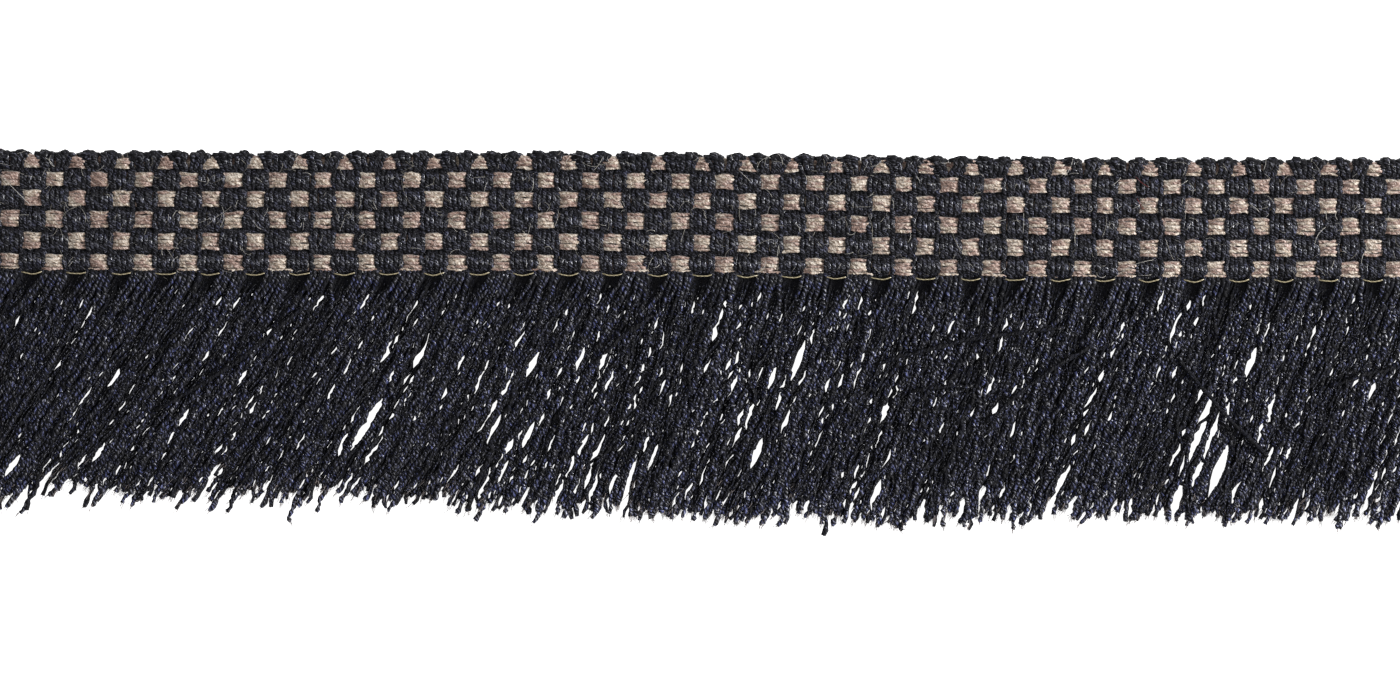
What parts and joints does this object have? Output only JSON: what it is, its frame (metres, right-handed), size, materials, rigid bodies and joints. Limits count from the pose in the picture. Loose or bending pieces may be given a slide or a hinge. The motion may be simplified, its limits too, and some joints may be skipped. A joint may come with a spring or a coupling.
{
  "type": "fringe trim",
  "caption": "Cut length of woven brush fringe: a narrow taupe and navy check heading whose weft yarns run on as a loose cut fringe, to be sewn or glued along an edge.",
  "frame": {"origin": "middle of the heading's flat back, on the surface that the trim lies on", "axes": "+X along the trim, +Y across it from the fringe towards the looped edge, +Z out of its face"},
  "size_m": [0.2367, 0.0535, 0.0019],
  "materials": {
    "check_weave": "soft matt weave of taupe warp bundles and navy weft yarns",
    "navy_yarn": "twisted two-ply yarn with a low sheen",
    "taupe_yarn": "soft matt spun thread",
    "gold_thread": "fine lustrous thread"
  },
  "bodies": {
    "root": {"heading": "check_weave", "fringe": "navy_yarn"}
  },
  "joints": []
}
